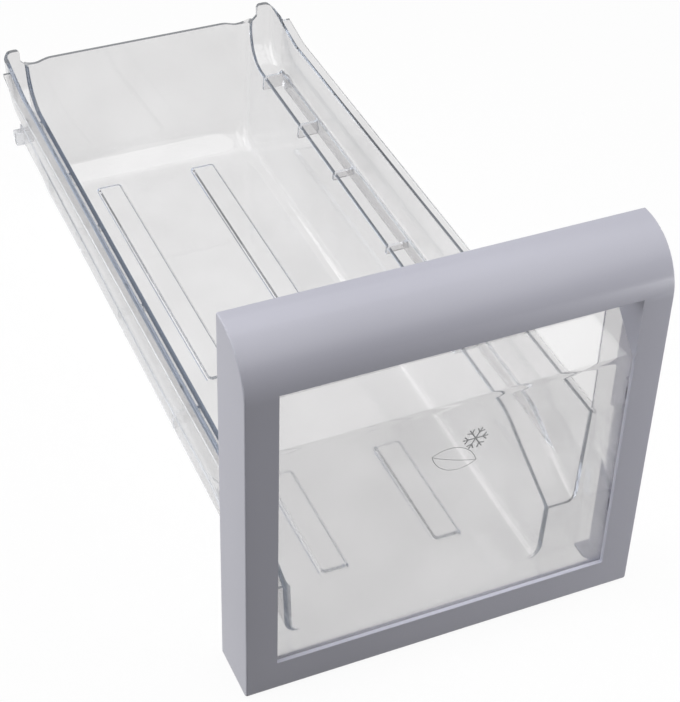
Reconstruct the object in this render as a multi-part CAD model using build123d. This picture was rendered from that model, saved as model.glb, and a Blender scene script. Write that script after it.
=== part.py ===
"""Clear pull-out refrigerator drawer with a grey clip-on front frame.

Frame: +X to the right seen from the front, +Y to the back, +Z up.
The pieces are drawn with Y = 0 at the front face of the frame, then moved so that the origin lies
on the floor in the middle of the length. Millimetres.
"""
from build123d import *

import os
from math import cos, radians, sqrt, tan

# Front frame
FRAME_WIDTH = 200.0
FRAME_HEIGHT = 204.0
FRAME_DEPTH = 31.0
FRAME_WALL = 2.0
SIDE_BAR = 15.2
BOTTOM_BAR = 18.3
TOP_BAR = 24.6
TOP_RADIUS = 27.0
FOOT_RADIUS = 3.0
FRAME_EDGE_RADIUS = 0.8
GRIP_LIP_DEPTH = 9.0

# Clear tub, inside sizes
TUB_WALL = 2.2
LOWER_DRAFT = 2.6
LOWER_BACK = 432.0
BACK_DRAFT = 2.0
BACK_DROP = 5.0
FLOOR_RADIUS = 20.0
SIDE_RADIUS = 6.5
RIM_HEIGHT = 91.4
UPPER_STEP = 1.8
UPPER_NARROWING = 2.2
UPPER_DRAFT = 2.2
UPPER_SETBACK = 4.0
UPPER_BACK_RADIUS = 20.0
UPPER_SIDE_RADIUS = 4.0

# Running ledge along both sides, and the lip that hangs from it
LEDGE_WIDTH = 18.7
LEDGE_FRONT_HEIGHT = 57.5
LEDGE_CLIMB = 7.5
LEDGE_START = 81.0
RAMP_RISE = 23.5
RAMP_RADIUS = 40.0
LIP_DEPTH = 10.0
LIP_SETBACK = 23.0
WEB_THICKNESS = 2.0
WEB_PLACES = (137.0, 348.0)
GUSSET_PLACES = (222.0, 296.0)
GUSSET_DEPTH = 6.0
STOP_BUMP = 3.5
STOP_SIZE = 7.0

# Rim flange along both sides, and the ears at its rear end
RIM_OVERHANG = 2.3
RIM_FLANGE = 2.0
FLANGE_SETBACK = 16.0
EAR_RISE = 8.1
EAR_RUN = 42.0
EAR_RADIUS = 2.4
EAR_INSET = 1.0
EAR_WIDTH = 7.0
EAR_FOOT = 0.6
DIP_DEPTH = 3.0
DIP_RUN = 10.0
DIP_RADIUS = 8.0

# Front box of the tub, behind the frame
FRONT_BOX_BACK = 30.0
CREASE_HEIGHT = 146.0
SLOPE_ANGLE = 45.0
CREASE_RADIUS = 2.0

# Stiffening beads of the floor
BEAD_WIDTH = 15.6
BEAD_SPACING = 61.6
BEAD_HEIGHT = 1.6
BEAD_BEVEL = 1.4
BEAD_CORNER = 2.5
BEAD_SPANS = ((58.0, 133.0), (214.0, LOWER_BACK - FLOOR_RADIUS))

# Snap fit between the two pieces
FIT_GAP = 0.3
CLIP_ROOM = 6.5
CLIP_WIDTH = 14.0
CLIP_HEIGHTS = (50.0, 120.0)
CLIP_LENGTH = 11.0
CATCH_WIDTH = 7.0
CATCH_DEPTH = 1.4
CATCH_LENGTH = 3.5
CATCH_BACK = 8.5

# Worked out from the sizes above
FRONT_BOX_WIDTH = FRAME_WIDTH - 2 * (2 * FRAME_WALL + CLIP_ROOM + FIT_GAP + TUB_WALL)
UPPER_WIDTH_FRONT = FRONT_BOX_WIDTH - 2 * UPPER_STEP
UPPER_WIDTH_BACK = UPPER_WIDTH_FRONT - 2 * UPPER_NARROWING
UPPER_BACK = LOWER_BACK - UPPER_SETBACK
LOWER_WIDTH = UPPER_WIDTH_FRONT - 2 * LEDGE_WIDTH
LEDGE_BACK_HEIGHT = LEDGE_FRONT_HEIGHT + LEDGE_CLIMB
RAMP_HEIGHT = LEDGE_FRONT_HEIGHT - RAMP_RISE
LIP_BACK = UPPER_BACK - LIP_SETBACK
RIM_WIDTH = UPPER_WIDTH_FRONT + 2 * (TUB_WALL + RIM_OVERHANG)
FLANGE_BACK = UPPER_BACK - FLANGE_SETBACK
EAR_HEIGHT = RIM_HEIGHT + EAR_RISE
EAR_SHOULDER = RIM_HEIGHT + EAR_FOOT
EAR_OUTER_WIDTH = UPPER_WIDTH_BACK - 2 * EAR_INSET
EAR_INNER_WIDTH = EAR_OUTER_WIDTH - 2 * EAR_WIDTH
BACK_HEIGHT = RIM_HEIGHT - BACK_DROP
DIP_HEIGHT = BACK_HEIGHT - DIP_DEPTH
PANEL_FRONT = FRAME_WALL
CAVITY_FRONT = PANEL_FRONT + TUB_WALL
JOIN = (CAVITY_FRONT + FLOOR_RADIUS + FRONT_BOX_BACK) / 2
BOX_OUTER = FRONT_BOX_WIDTH / 2 + TUB_WALL
BOX_END = FRONT_BOX_BACK + TUB_WALL
SLOPE = tan(radians(SLOPE_ANGLE))
WINDOW_HALF = FRAME_WIDTH / 2 - SIDE_BAR
WINDOW_TOP = FRAME_HEIGHT - TOP_BAR
OPEN_TOP = (EAR_HEIGHT + CREASE_HEIGHT) / 2
FAR_SIDE = FRAME_WIDTH
FAR_BACK = 2 * LOWER_BACK


def across(outline, half_width=FAR_SIDE):
    """A side outline, drawn in Y and Z, extruded to both sides."""
    return extrude(Plane.YZ * outline, amount=half_width, both=True)


def lengthwise(outline):
    """A front outline, drawn in X and Z, extruded from in front of the object to behind it."""
    return extrude(Plane.XZ * outline, amount=FAR_BACK, both=True)


def closed(*lines):
    """The face inside a run of lines and a straight closing line."""
    path = Curve() + list(lines)
    wire = path.wires()[0]
    return make_face(Curve() + [*lines, Line(wire @ 1, wire @ 0)])


def side_box(x0, x1, y0, y1, z0, z1):
    """One box on each side of the middle, from x0 to x1."""
    block = Pos((x0 + x1) / 2, (y0 + y1) / 2, (z0 + z1) / 2) * Box(x1 - x0, y1 - y0, z1 - z0)
    return block + mirror(block, about=Plane.YZ)


def trough(half_front, half_back, level, draft):
    """A straight channel that narrows from FRONT_BOX_BACK to UPPER_BACK and leans out by the draft.

    The half widths are the ones at the given level.
    """
    taper = (half_back - half_front) / (UPPER_BACK - FRONT_BOX_BACK)
    lean = tan(radians(draft))
    block = Pos(0, 0, OPEN_TOP / 2) * Box(2 * FAR_SIDE, 2 * FAR_BACK, 2 * OPEN_TOP)
    for side in (-1, 1):
        face = Plane(origin=(side * half_front, FRONT_BOX_BACK, level), z_dir=(side, -taper, -lean))
        block = split(block, bisect_by=face, keep=Keep.BOTTOM)
    return block


def ledge_height(y):
    """Top of the running ledge, a straight line that climbs to the back."""
    climb = (LEDGE_BACK_HEIGHT - LEDGE_FRONT_HEIGHT) / (UPPER_BACK - LEDGE_START)
    return LEDGE_FRONT_HEIGHT + climb * (y - LEDGE_START)


def hollow_form(path, sides, extra, radius):
    """A side outline above the path, grown by extra and cut to the sides, with rounded side edges."""
    roof = Line(path @ 1, (JOIN, OPEN_TOP))
    outline = closed(path, roof)
    if extra:
        outline = offset(outline, amount=extra, kind=Kind.INTERSECTION)
    solid = across(outline) & sides
    walls = solid.faces().filter_by(lambda face: abs(face.normal_at().X) > 0.9)
    behind_join = walls.edges().filter_by(lambda edge: edge.center().Y > JOIN)
    rounded = behind_join.filter_by(lambda edge: edge.center().Z < OPEN_TOP - TUB_WALL)
    return fillet(rounded, radius + extra)


def lower_trough(extra):
    """The lower, narrow part of the tub: its cavity at 0, its outside at the wall thickness."""
    lean = tan(radians(BACK_DRAFT)) * (OPEN_TOP - TUB_WALL)
    path = FilletPolyline(
        (JOIN, TUB_WALL),
        (LOWER_BACK, TUB_WALL),
        (LOWER_BACK + lean, OPEN_TOP),
        radius=FLOOR_RADIUS,
    )
    half = LOWER_WIDTH / 2 + extra / cos(radians(LOWER_DRAFT))
    return hollow_form(path, trough(half, half, TUB_WALL, LOWER_DRAFT), extra, SIDE_RADIUS)


def upper_sides(extra):
    """The channel that bounds the upper, wide part, grown by extra."""
    grow = extra / cos(radians(UPPER_DRAFT))
    front = UPPER_WIDTH_FRONT / 2 + grow
    back = UPPER_WIDTH_BACK / 2 + grow
    return trough(front, back, RIM_HEIGHT, UPPER_DRAFT)


def upper_trough(extra):
    """The upper, wide part above the ramp and the running ledge: its cavity or its outside."""
    ramp = (LEDGE_FRONT_HEIGHT - RAMP_HEIGHT) / (LEDGE_START - FRONT_BOX_BACK)
    path = FilletPolyline(
        (JOIN, RAMP_HEIGHT - ramp * (FRONT_BOX_BACK - JOIN)),
        (LEDGE_START, LEDGE_FRONT_HEIGHT),
        (UPPER_BACK, LEDGE_BACK_HEIGHT),
        (UPPER_BACK, OPEN_TOP),
        radius=[RAMP_RADIUS, UPPER_BACK_RADIUS],
    )
    return hollow_form(path, upper_sides(extra), extra, UPPER_SIDE_RADIUS)


def front_box_outside():
    """Front box: window panel, its slope behind the grip, and the two cheeks, as a filled block."""
    path = FilletPolyline(
        (BOX_END, CREASE_HEIGHT + SLOPE * (BOX_END - PANEL_FRONT)),
        (PANEL_FRONT, CREASE_HEIGHT),
        (PANEL_FRONT, 0),
        (BOX_END, 0),
        radius=[CREASE_RADIUS + TUB_WALL, FLOOR_RADIUS + TUB_WALL],
    )
    return across(closed(path), BOX_OUTER)


def front_box_cavity():
    """The space inside the front box, which is open to the back above the rim."""
    crease = CREASE_HEIGHT - TUB_WALL * tan(radians(SLOPE_ANGLE / 2))
    far = LEDGE_START
    front = FilletPolyline(
        (far, crease + SLOPE * (far - CAVITY_FRONT)),
        (CAVITY_FRONT, crease),
        (CAVITY_FRONT, TUB_WALL),
        (FRONT_BOX_BACK, TUB_WALL),
        radius=[CREASE_RADIUS, FLOOR_RADIUS],
    )
    back = Polyline((FRONT_BOX_BACK, TUB_WALL), (FRONT_BOX_BACK, RIM_HEIGHT), (far, RIM_HEIGHT))
    return across(closed(front, back), FRONT_BOX_WIDTH / 2)


def rim_outline(depth):
    """Side outline below the rim, which climbs to the ears; depth 0 reaches the floor."""
    back = UPPER_BACK + TUB_WALL
    ear = FilletPolyline(
        (0, RIM_HEIGHT),
        (back - EAR_RUN, RIM_HEIGHT),
        (back, EAR_HEIGHT),
        radius=EAR_RUN,
    )
    if depth:
        lower = Polyline(
            (back, EAR_HEIGHT),
            (back, EAR_HEIGHT - depth),
            (back - EAR_RUN, RIM_HEIGHT - depth),
            (0, RIM_HEIGHT - depth),
        )
    else:
        lower = Polyline((back, EAR_HEIGHT), (back, 0), (0, 0))
    return closed(ear, lower)


def rear_outline():
    """Front outline of the tub's rear end: the back wall, a dip at each corner, then the ears."""
    side = RIM_HEIGHT + RIM_FLANGE
    right = FilletPolyline(
        (0, BACK_HEIGHT),
        (LOWER_WIDTH / 2 - DIP_RUN, BACK_HEIGHT),
        (LOWER_WIDTH / 2, DIP_HEIGHT),
        (EAR_INNER_WIDTH / 2, EAR_SHOULDER),
        (EAR_INNER_WIDTH / 2, EAR_HEIGHT),
        (EAR_OUTER_WIDTH / 2, EAR_HEIGHT),
        (RIM_WIDTH / 2, side),
        (FAR_SIDE, side),
        radius=[2 * DIP_RADIUS, DIP_RADIUS, EAR_RADIUS / 2, EAR_RADIUS, EAR_RADIUS, EAR_RADIUS],
    )
    floor = Polyline((FAR_SIDE, side), (FAR_SIDE, 0), (-FAR_SIDE, 0), (-FAR_SIDE, side))
    return make_face(Curve() + [right, floor, mirror(right, about=Plane.YZ)])


def running_lip():
    """Lip that hangs from the outer edge of the ledge on both sides and keeps the drawer on its rail."""
    outline = Polyline(
        (FRONT_BOX_BACK, ledge_height(FRONT_BOX_BACK) - LIP_DEPTH),
        (LIP_BACK, ledge_height(LIP_BACK) - LIP_DEPTH),
        (LIP_BACK, ledge_height(LIP_BACK)),
        (FRONT_BOX_BACK, ledge_height(FRONT_BOX_BACK)),
        close=True,
    )
    return across(make_face(outline)) & (upper_sides(TUB_WALL) - upper_sides(0))


def ledge_webs():
    """Cross webs and small gussets under the ledge, and the stop at the rear end of the lip."""
    sides = upper_sides(TUB_WALL)
    webs = Part()
    ends = (LIP_BACK - WEB_THICKNESS / 2,)
    for y in WEB_PLACES + ends:
        webs += side_box(LOWER_WIDTH / 2, FAR_SIDE, y - WEB_THICKNESS / 2, y + WEB_THICKNESS / 2,
                         ledge_height(y) - LIP_DEPTH, ledge_height(y))
    for y in GUSSET_PLACES:
        webs += side_box(LOWER_WIDTH / 2, FAR_SIDE, y - WEB_THICKNESS / 2, y + WEB_THICKNESS / 2,
                         ledge_height(y) - GUSSET_DEPTH, ledge_height(y))
    webs = webs & sides
    stop = UPPER_WIDTH_BACK / 2 + TUB_WALL + STOP_BUMP
    foot = ledge_height(LIP_BACK) - LIP_DEPTH
    webs += side_box(UPPER_WIDTH_BACK / 2, stop, LIP_BACK - STOP_SIZE, LIP_BACK, foot, foot + STOP_SIZE)
    return webs


def rim_flange():
    """Narrow flange that stiffens the outer edge of both side rims; its outer edges are parallel."""
    band = across(rim_outline(RIM_FLANGE), RIM_WIDTH / 2) - upper_sides(0)
    return band & side_box(0, FAR_SIDE, FRONT_BOX_BACK, FLANGE_BACK, 0, OPEN_TOP)


def floor_beads(base):
    """Raised bars of the floor with bevelled sides, two rows of two."""
    beads = Part()
    for y0, y1 in BEAD_SPANS:
        for x in (-BEAD_SPACING / 2, BEAD_SPACING / 2):
            place = Pos(x, (y0 + y1) / 2, base)
            low = place * RectangleRounded(BEAD_WIDTH, y1 - y0, BEAD_CORNER)
            high = place * Pos(0, 0, BEAD_HEIGHT) * RectangleRounded(
                BEAD_WIDTH - 2 * BEAD_BEVEL, y1 - y0 - 2 * BEAD_BEVEL, BEAD_CORNER - BEAD_BEVEL / 2)
            beads += loft([low, high], ruled=True)
    return beads


def clip_catches():
    """Wedges on the cheeks that the frame's clips snap over."""
    catches = Part()
    for z in CLIP_HEIGHTS:
        wedge = make_face(Polyline(
            (BOX_OUTER - TUB_WALL / 2, CATCH_BACK - CATCH_LENGTH),
            (BOX_OUTER, CATCH_BACK - CATCH_LENGTH),
            (BOX_OUTER + CATCH_DEPTH, CATCH_BACK),
            (BOX_OUTER - TUB_WALL / 2, CATCH_BACK),
            close=True,
        ))
        solid = Pos(0, 0, z - CATCH_WIDTH / 2) * extrude(wedge, amount=CATCH_WIDTH)
        catches += solid + mirror(solid, about=Plane.YZ)
    return catches


def drawer_tub():
    """The clear tub: outer forms joined, then hollowed by the matching inner forms."""
    rear = lengthwise(rear_outline())
    lower = lower_trough(TUB_WALL) & rear
    upper = upper_trough(TUB_WALL) & across(rim_outline(0)) & rear
    outside = lower + [upper, front_box_outside(), running_lip(), ledge_webs(), rim_flange(), clip_catches()]
    shell = outside - [lower_trough(0), upper_trough(0), front_box_cavity(), floor_beads(0)]
    return shell + floor_beads(TUB_WALL)


def frame_outline(depth):
    """Side outline of the front frame, with its long top curve."""
    path = FilletPolyline(
        (depth, 0),
        (0, 0),
        (0, FRAME_HEIGHT),
        (depth, FRAME_HEIGHT),
        radius=[FOOT_RADIUS, TOP_RADIUS],
    )
    return closed(path)


def frame_clips():
    """Clip arms on the back of the frame, each with a slot for a catch."""
    inner = BOX_OUTER + FIT_GAP
    arms = Part()
    for z in CLIP_HEIGHTS:
        arms += side_box(inner, inner + FRAME_WALL, FRAME_WALL / 2, CLIP_LENGTH,
                         z - CLIP_WIDTH / 2, z + CLIP_WIDTH / 2)
        slot = CATCH_WIDTH / 2 + FIT_GAP
        arms -= side_box(inner - FRAME_WALL, inner + 2 * FRAME_WALL, CATCH_BACK - CATCH_LENGTH - FIT_GAP,
                         CATCH_BACK + FIT_GAP, z - slot, z + slot)
    return arms


def grip_returns():
    """Side walls of the grip pocket, from the front face back to the slope of the window panel."""
    base = CREASE_HEIGHT + FIT_GAP / cos(radians(SLOPE_ANGLE))
    reach = FRAME_DEPTH - FRAME_WALL
    outline = Polyline(
        (FRAME_WALL / 2, base),
        (PANEL_FRONT, base),
        (reach, base + SLOPE * (reach - PANEL_FRONT)),
        (reach, FRAME_HEIGHT - FRAME_WALL / 2),
        (FRAME_WALL / 2, FRAME_HEIGHT - FRAME_WALL / 2),
        close=True,
    )
    walls = across(make_face(outline), WINDOW_HALF + FRAME_WALL)
    return walls - across(make_face(outline), WINDOW_HALF)


def front_frame():
    """The grey frame: an open-backed shell with the window, the grip pocket and four clips."""
    outer = across(frame_outline(FRAME_DEPTH), FRAME_WIDTH / 2)
    ends = outer.faces().filter_by(Axis.X)
    rounded = [edge for edge in ends.edges() if edge.center().Y < FRAME_DEPTH - FRAME_WALL]
    outer = fillet(rounded, FRAME_EDGE_RADIUS)
    inner_outline = offset(frame_outline(FRAME_DEPTH + 2 * FRAME_WALL), amount=-FRAME_WALL)
    frame = outer - across(inner_outline, FRAME_WIDTH / 2 - FRAME_WALL)
    lip = Pos(0, GRIP_LIP_DEPTH / 2 + FRAME_WALL / 2, WINDOW_TOP + FRAME_WALL / 2) * Box(
        2 * WINDOW_HALF + FRAME_WALL, GRIP_LIP_DEPTH, FRAME_WALL)
    frame += (grip_returns() + lip) & outer
    window = Pos(0, 0, (BOTTOM_BAR + WINDOW_TOP) / 2) * Box(
        2 * WINDOW_HALF, 2 * FRAME_DEPTH, WINDOW_TOP - BOTTOM_BAR)
    frame -= window
    radius = FLOOR_RADIUS + TUB_WALL
    clear = radius - FRAME_WALL - FIT_GAP
    notch = PANEL_FRONT + radius - sqrt(radius**2 - clear**2)
    frame -= Pos(0, notch + FRAME_DEPTH / 2, 0) * Box(2 * (BOX_OUTER + FIT_GAP), FRAME_DEPTH, 3 * FRAME_WALL)
    return frame + frame_clips()


os.makedirs("parts", exist_ok=True)
tub = drawer_tub()
frame = front_frame()
to_middle = Pos(0, -tub.bounding_box().max.Y / 2, 0)
export_step(to_middle * tub, "parts/drawer_tub.step")
export_step(to_middle * frame, "parts/front_frame.step")
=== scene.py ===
import math

import bpy
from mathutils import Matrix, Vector


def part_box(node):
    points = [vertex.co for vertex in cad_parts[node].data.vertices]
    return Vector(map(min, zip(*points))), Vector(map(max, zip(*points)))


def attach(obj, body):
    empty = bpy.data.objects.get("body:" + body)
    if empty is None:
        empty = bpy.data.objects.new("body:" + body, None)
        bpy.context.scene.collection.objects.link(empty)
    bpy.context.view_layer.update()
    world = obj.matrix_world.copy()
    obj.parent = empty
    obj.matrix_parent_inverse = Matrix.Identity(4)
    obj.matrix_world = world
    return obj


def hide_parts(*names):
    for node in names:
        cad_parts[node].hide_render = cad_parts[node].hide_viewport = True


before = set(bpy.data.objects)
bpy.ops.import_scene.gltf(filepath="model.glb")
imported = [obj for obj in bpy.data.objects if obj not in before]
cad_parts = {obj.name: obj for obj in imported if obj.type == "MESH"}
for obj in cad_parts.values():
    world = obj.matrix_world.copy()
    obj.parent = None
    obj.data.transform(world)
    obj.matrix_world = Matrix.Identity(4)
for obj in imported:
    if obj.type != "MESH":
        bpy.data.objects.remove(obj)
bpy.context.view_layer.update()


# Clear tub: the deep drawer itself, one injection moulding of clear styrene plastic.
# A copy of the solid stands for it, welded so that its curved walls shade smoothly.
# Lamps shine through its walls, and light that stays trapped in a wall comes out in part, as grey edges.
SMOOTH_ANGLE = math.radians(24)
WELD_DISTANCE = 1e-6
NOISE_LOW, NOISE_HIGH = 0.3, 0.7
PLASTIC_IOR = 1.5
CLEAR_DARK = (0.765, 0.755, 0.75, 1.0)
CLEAR_PALE = (0.815, 0.805, 0.80, 1.0)
CLEAR_GLOSS_LOW, CLEAR_GLOSS_HIGH = 0.03, 0.07
CLEAR_WAVES, CLEAR_GRAINS = 22.0, 260.0
CLEAR_WAVE_STRENGTH = 0.12
CLEAR_WAVE_HEIGHT = 0.0006
COLD_TINT = (0.42, 0.53, 0.70, 1.0)
COLD_TINT_DENSITY = 24.0
SHADOW_COVER = 0.1
TRAPPED_BOUNCES = 3.5
ESCAPE_SHARE = 0.3


def select_only(piece):
    """Leaves one object selected and active."""
    bpy.ops.object.select_all(action="DESELECT")
    piece.select_set(True)
    bpy.context.view_layer.objects.active = piece


def welded_copy(node, name):
    """A copy of a solid with its loose triangles welded and its rounded edges shaded smoothly."""
    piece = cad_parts[node].copy()
    piece.data = piece.data.copy()
    piece.name = name
    piece.data.name = name
    bpy.context.collection.objects.link(piece)
    select_only(piece)
    bpy.ops.mesh.customdata_custom_splitnormals_clear()
    bpy.ops.object.mode_set(mode="EDIT")
    bpy.ops.mesh.select_all(action="SELECT")
    bpy.ops.mesh.remove_doubles(threshold=WELD_DISTANCE)
    bpy.ops.object.mode_set(mode="OBJECT")
    bpy.ops.object.shade_smooth_by_angle(angle=SMOOTH_ANGLE)
    piece.data.materials.clear()
    return piece


def surface_noise():
    """A shader group with soft moulded waves and fine grain, both read from Object coordinates."""
    group = bpy.data.node_groups.new("surface_noise", "ShaderNodeTree")
    for socket in ("Wave Scale", "Grain Scale"):
        group.interface.new_socket(socket, in_out="INPUT", socket_type="NodeSocketFloat")
    for socket in ("Wave", "Grain"):
        group.interface.new_socket(socket, in_out="OUTPUT", socket_type="NodeSocketFloat")
    entry = group.nodes.new("NodeGroupInput")
    place = group.nodes.new("ShaderNodeTexCoord")
    leave = group.nodes.new("NodeGroupOutput")
    for name, detail in (("Wave", 1.0), ("Grain", 3.0)):
        noise = group.nodes.new("ShaderNodeTexNoise")
        noise.inputs["Detail"].default_value = detail
        group.links.new(place.outputs["Object"], noise.inputs["Vector"])
        group.links.new(entry.outputs[name + " Scale"], noise.inputs["Scale"])
        group.links.new(noise.outputs["Fac"], leave.inputs[name])
    return group


def noise_node(material, wave_scale, grain_scale):
    """Places the surface noise in a material, with scales in waves and grains for each metre."""
    node = material.node_tree.nodes.new("ShaderNodeGroup")
    node.node_tree = moulded_noise
    node.inputs["Wave Scale"].default_value = wave_scale
    node.inputs["Grain Scale"].default_value = grain_scale
    return node


def between(material, value, low, high):
    """A value or colour that runs from low to high as the noise does."""
    ramp = material.node_tree.nodes.new("ShaderNodeValToRGB")
    ramp.color_ramp.elements[0].position = NOISE_LOW
    ramp.color_ramp.elements[1].position = NOISE_HIGH
    ramp.color_ramp.elements[0].color = low
    ramp.color_ramp.elements[1].color = high
    material.node_tree.links.new(value, ramp.inputs["Fac"])
    return ramp.outputs["Color"]


def grey(level):
    """A neutral colour of that level."""
    return (level, level, level, 1.0)


def relief(material, height, strength, distance):
    """A normal that follows the low relief of a moulded surface."""
    bump = material.node_tree.nodes.new("ShaderNodeBump")
    bump.inputs["Strength"].default_value = strength
    bump.inputs["Distance"].default_value = distance
    material.node_tree.links.new(height, bump.inputs["Height"])
    return bump.outputs["Normal"]


def math_node(tree, operation, *terms):
    """A Math node whose terms are numbers or the outputs of other nodes."""
    node = tree.nodes.new("ShaderNodeMath")
    node.operation = operation
    for socket, term in zip(node.inputs, terms):
        if isinstance(term, bpy.types.NodeSocket):
            tree.links.new(term, socket)
        else:
            socket.default_value = term
    return node.outputs["Value"]


def clear_styrene():
    """Clear plastic with a faint cold tint in its thickness and the slight waves of a moulded wall."""
    material = bpy.data.materials.new("clear_styrene")
    material.use_nodes = True
    tree = material.node_tree
    plastic = tree.nodes["Principled BSDF"]
    plastic.inputs["Transmission Weight"].default_value = 1.0
    plastic.inputs["IOR"].default_value = PLASTIC_IOR
    noise = noise_node(material, CLEAR_WAVES, CLEAR_GRAINS)
    colour = between(material, noise.outputs["Wave"], CLEAR_DARK, CLEAR_PALE)
    tree.links.new(colour, plastic.inputs["Base Color"])
    gloss = between(material, noise.outputs["Grain"], grey(CLEAR_GLOSS_LOW), grey(CLEAR_GLOSS_HIGH))
    tree.links.new(gloss, plastic.inputs["Roughness"])
    path = tree.nodes.new("ShaderNodeLightPath")
    lit = math_node(tree, "MULTIPLY_ADD", path.outputs["Is Shadow Ray"], SHADOW_COVER - 1, 1)
    trapped = math_node(tree, "GREATER_THAN", path.outputs["Glossy Depth"], TRAPPED_BOUNCES)
    kept = math_node(tree, "MULTIPLY_ADD", trapped, -ESCAPE_SHARE, 1)
    tree.links.new(math_node(tree, "MULTIPLY", lit, kept), plastic.inputs["Alpha"])
    waves = relief(material, noise.outputs["Wave"], CLEAR_WAVE_STRENGTH, CLEAR_WAVE_HEIGHT)
    tree.links.new(waves, plastic.inputs["Normal"])
    tint = tree.nodes.new("ShaderNodeVolumeAbsorption")
    tint.inputs["Color"].default_value = COLD_TINT
    tint.inputs["Density"].default_value = COLD_TINT_DENSITY
    tree.links.new(tint.outputs["Volume"], tree.nodes["Material Output"].inputs["Volume"])
    return material


moulded_noise = surface_noise()
tub = welded_copy("drawer_tub", "clear_tub")
tub.data.materials.append(clear_styrene())
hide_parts("drawer_tub")
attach(tub, "root")


# Front frame: one moulding in satin grey plastic that clips over the front of the tub.
# Its long top curve is the finger grip, and its plate frames the clear panel.
SATIN_DARK = (0.462, 0.462, 0.530, 1.0)
SATIN_PALE = (0.485, 0.485, 0.555, 1.0)
SATIN_GLOSS_LOW, SATIN_GLOSS_HIGH = 0.30, 0.38
SATIN_WAVES, SATIN_GRAINS = 14.0, 2600.0
SATIN_GRAIN_STRENGTH = 0.15
SATIN_GRAIN_HEIGHT = 0.00008


def satin_grey():
    """Opaque grey plastic with a fine spark-eroded grain and faint flow marks."""
    material = bpy.data.materials.new("satin_grey")
    material.use_nodes = True
    links = material.node_tree.links
    plastic = material.node_tree.nodes["Principled BSDF"]
    plastic.inputs["IOR"].default_value = PLASTIC_IOR
    noise = noise_node(material, SATIN_WAVES, SATIN_GRAINS)
    links.new(between(material, noise.outputs["Wave"], SATIN_DARK, SATIN_PALE), plastic.inputs["Base Color"])
    gloss = between(material, noise.outputs["Grain"], grey(SATIN_GLOSS_LOW), grey(SATIN_GLOSS_HIGH))
    links.new(gloss, plastic.inputs["Roughness"])
    grain = relief(material, noise.outputs["Grain"], SATIN_GRAIN_STRENGTH, SATIN_GRAIN_HEIGHT)
    links.new(grain, plastic.inputs["Normal"])
    return material


grip_frame = welded_copy("front_frame", "grip_frame")
grip_frame.data.materials.append(satin_grey())
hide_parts("front_frame")
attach(grip_frame, "root")


# Cold-storage sign: a plain snowflake over a plain leaf, printed in grey ink on the clear panel.
# Each stroke is a bezier line with a flattened round section that lies on the panel's front face.
SNOWFLAKE_PLACE = (0.0088, 0.1236)
SNOWFLAKE_RADIUS = 0.0061
SNOWFLAKE_ARMS = 6
BARB_START = 0.58
BARB_LENGTH = 0.0026
BARB_ANGLE = math.radians(48)
SNOWFLAKE_STROKE = 0.00034
LEAF_STEM = (-0.0120, 0.1190)
LEAF_TIP = (0.0100, 0.1105)
LEAF_TOP_BULGE = 0.0062
LEAF_FOOT_BULGE = -0.0066
MIDRIB_BULGE = LEAF_FOOT_BULGE / 8
LEAF_STROKE = 0.00016
STROKE_SIDES = 2
BOWED_STEPS = 16
HANDLE_ALONG = 1 / 4
HANDLE_ASIDE = 4 / 3
INK_FLATTENING = 0.3
INK_DARK = (0.40, 0.40, 0.41, 1.0)
INK_PALE = (0.48, 0.48, 0.49, 1.0)
INK_ROUGHNESS = 0.6
INK_WAVES, INK_GRAINS = 300.0, 3000.0
panel_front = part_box("drawer_tub")[0].y


def ink_stroke(start, end, bulge, thickness):
    """One printed line from start to end on the panel, bowed sideways by the bulge."""
    bpy.ops.object.select_all(action="DESELECT")
    bpy.ops.curve.primitive_bezier_curve_add(location=(0, 0, 0))
    stroke = bpy.context.object
    stroke.data.bevel_depth = thickness
    stroke.data.bevel_resolution = STROKE_SIDES
    stroke.data.resolution_u = BOWED_STEPS if bulge else 1
    stroke.data.use_fill_caps = True
    height = panel_front - thickness * INK_FLATTENING
    run = Vector((end[0] - start[0], 0, end[1] - start[1]))
    side = Vector((-run.z, 0, run.x)).normalized() * bulge * HANDLE_ASIDE
    for point, place, reach in zip(stroke.data.splines[0].bezier_points, (start, end), (1, -1)):
        point.handle_left_type = point.handle_right_type = "FREE"
        point.co = (place[0], height, place[1])
        handle = point.co + run * reach * HANDLE_ALONG + side
        point.handle_right = handle if reach > 0 else point.co
        point.handle_left = point.co if reach > 0 else handle
    bpy.ops.object.convert(target="MESH")
    bpy.ops.object.mode_set(mode="EDIT")
    bpy.ops.mesh.select_all(action="SELECT")
    bpy.ops.transform.resize(value=(1, INK_FLATTENING, 1), center_override=(0, height, 0))
    bpy.ops.object.mode_set(mode="OBJECT")
    return bpy.context.object


def polar(centre, radius, angle):
    """The point on the panel at that distance and direction from a centre."""
    return (centre[0] + radius * math.cos(angle), centre[1] + radius * math.sin(angle))


def snowflake():
    """Six straight arms, each with a pair of barbs that point outwards."""
    strokes = []
    for arm in range(SNOWFLAKE_ARMS):
        angle = arm * math.tau / SNOWFLAKE_ARMS
        tip = polar(SNOWFLAKE_PLACE, SNOWFLAKE_RADIUS, angle)
        strokes.append(ink_stroke(SNOWFLAKE_PLACE, tip, 0, SNOWFLAKE_STROKE))
        root = polar(SNOWFLAKE_PLACE, SNOWFLAKE_RADIUS * BARB_START, angle)
        for turn in (-BARB_ANGLE, BARB_ANGLE):
            strokes.append(ink_stroke(root, polar(root, BARB_LENGTH, angle + turn), 0, SNOWFLAKE_STROKE))
    return strokes


def leaf():
    """Two bowed edges that meet at the stem and the tip, and a midrib between them."""
    bulges = (LEAF_TOP_BULGE, LEAF_FOOT_BULGE, MIDRIB_BULGE)
    return [ink_stroke(LEAF_STEM, LEAF_TIP, bulge, LEAF_STROKE) for bulge in bulges]


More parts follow.
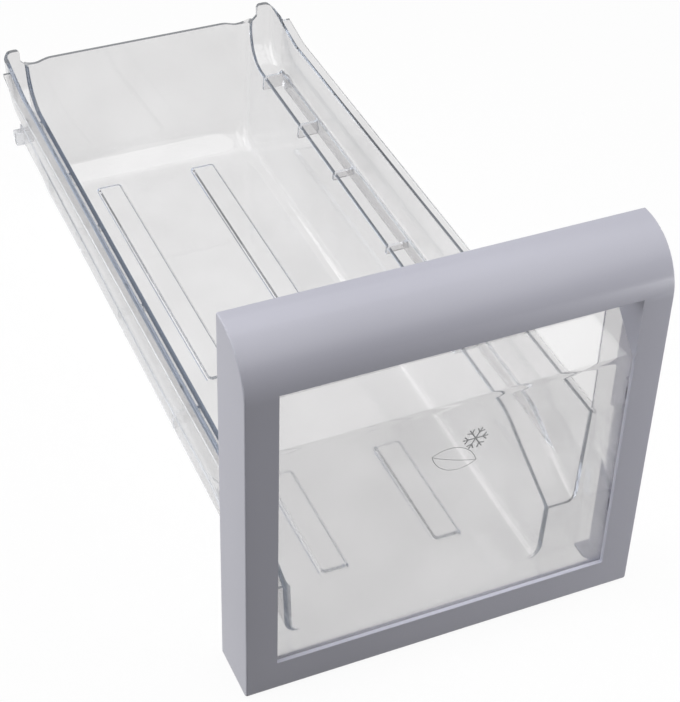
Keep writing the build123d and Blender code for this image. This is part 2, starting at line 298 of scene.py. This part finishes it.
def sign_ink():
    """Matt grey screen ink with a slightly uneven coat."""
    material = bpy.data.materials.new("sign_ink")
    material.use_nodes = True
    ink = material.node_tree.nodes["Principled BSDF"]
    ink.inputs["Roughness"].default_value = INK_ROUGHNESS
    noise = noise_node(material, INK_WAVES, INK_GRAINS)
    colour = between(material, noise.outputs["Grain"], INK_DARK, INK_PALE)
    material.node_tree.links.new(colour, ink.inputs["Base Color"])
    return material


strokes = snowflake() + leaf()
sign = strokes[0]
select_only(sign)
for stroke in strokes:
    stroke.select_set(True)
bpy.ops.object.join()
sign.name = "panel_sign"
sign.data.name = "panel_sign"
sign.data.materials.clear()
sign.data.materials.append(sign_ink())
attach(sign, "root")


# Floor, light and camera: a white photo table under large overhead and left lamps and a small right one.
# The background is white to the camera and through the clear walls, and the floor keeps a faint shadow.
# The camera stands where the photograph was taken from, with the photograph's focal length in pixels.
ROOM_LIGHT = 0.01
WHITE_LIGHT = 1.0
FLOOR_SIZE = 60.0
FLOOR_LEVEL = -0.0004
PAPER_LEVEL = 0.82
PAPER_ROUGHNESS = 0.9
PAPER_BOUNCE = 0.15
SHADOW_FADE = 0.93
PHOTO_WIDTH, PHOTO_HEIGHT = 680, 702
PHOTO_FOCAL = 1901.566
SENSOR = 36.0
NEAREST_VIEW = 0.01
CAMERA_LEFT, CAMERA_AHEAD, CAMERA_HEIGHT = 0.304894, 0.532561, 0.681107
CAMERA_TURN = (50.34799, -1.52201, -23.54017)


def white_where_seen(tree, shader, white):
    """Shows a plain white to camera, glossy and transmission rays, and the shader to all others."""
    path = tree.nodes.new("ShaderNodeLightPath")
    seen = path.outputs["Is Camera Ray"]
    for ray in ("Is Glossy Ray", "Is Transmission Ray"):
        seen = math_node(tree, "MAXIMUM", seen, path.outputs[ray])
    mix = tree.nodes.new("ShaderNodeMixShader")
    tree.links.new(seen, mix.inputs["Fac"])
    tree.links.new(shader, mix.inputs[1])
    tree.links.new(white, mix.inputs[2])
    return mix.outputs["Shader"]


def white_paper():
    """White to whoever sees it, less the shadow's share, and dull to the light that it throws back."""
    material = bpy.data.materials.new("white_paper")
    material.use_nodes = True
    tree = material.node_tree
    sheet = tree.nodes["Principled BSDF"]
    sheet.inputs["Base Color"].default_value = grey(PAPER_LEVEL)
    sheet.inputs["Roughness"].default_value = PAPER_ROUGHNESS
    glow = tree.nodes.new("ShaderNodeEmission")
    glow.inputs["Strength"].default_value = WHITE_LIGHT
    shadowed = tree.nodes.new("ShaderNodeMixShader")
    shadowed.inputs["Fac"].default_value = SHADOW_FADE
    tree.links.new(sheet.outputs["BSDF"], shadowed.inputs[1])
    tree.links.new(glow.outputs["Emission"], shadowed.inputs[2])
    bounce = tree.nodes.new("ShaderNodeBsdfDiffuse")
    bounce.inputs["Color"].default_value = grey(PAPER_BOUNCE)
    seen = white_where_seen(tree, bounce.outputs["BSDF"], shadowed.outputs["Shader"])
    tree.links.new(seen, tree.nodes["Material Output"].inputs["Surface"])
    return material


def softbox(name, place, target, size, power):
    """A square area lamp that faces the target."""
    lamp = bpy.data.lights.new(name, "AREA")
    lamp.size = size
    lamp.energy = power
    holder = bpy.data.objects.new(name, lamp)
    bpy.context.collection.objects.link(holder)
    holder.location = place
    holder.rotation_euler = (Vector(target) - Vector(place)).to_track_quat("-Z", "Y").to_euler()


world = bpy.data.worlds.new("studio")
bpy.context.scene.world = world
world.use_nodes = True
room = world.node_tree.nodes["Background"]
room.inputs["Color"].default_value = grey(1.0)
room.inputs["Strength"].default_value = ROOM_LIGHT
backdrop = world.node_tree.nodes.new("ShaderNodeBackground")
backdrop.inputs["Color"].default_value = grey(1.0)
backdrop.inputs["Strength"].default_value = WHITE_LIGHT
seen_world = white_where_seen(world.node_tree, room.outputs["Background"], backdrop.outputs["Background"])
world.node_tree.links.new(seen_world, world.node_tree.nodes["World Output"].inputs["Surface"])

bpy.ops.object.select_all(action="DESELECT")
bpy.ops.mesh.primitive_plane_add(size=FLOOR_SIZE, location=(0, 0, FLOOR_LEVEL))
floor = bpy.context.object
floor.name = "floor"
floor.data.materials.append(white_paper())

softbox("overhead", (0.3, -0.4, 1.5), (0.0, -0.2, 0.1), 2.3, 24.5)
softbox("left_side", (-1.6, 0.6, 1.1), (0.0, -0.1, 0.1), 2.4, 43.0)
softbox("right_front", (0.42, -0.38, 0.14), (0.1, -0.22, 0.06), 0.25, 0.9)

view = bpy.data.cameras.new("photo_view")
view.sensor_width = SENSOR
view.lens = SENSOR * PHOTO_FOCAL / max(PHOTO_WIDTH, PHOTO_HEIGHT)
view.clip_start = NEAREST_VIEW
camera = bpy.data.objects.new("photo_view", view)
bpy.context.collection.objects.link(camera)
camera.location = (-CAMERA_LEFT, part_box("front_frame")[0].y - CAMERA_AHEAD, CAMERA_HEIGHT)
camera.rotation_euler = [math.radians(angle) for angle in CAMERA_TURN]
bpy.context.scene.camera = camera
bpy.context.scene.view_settings.view_transform = "Standard"
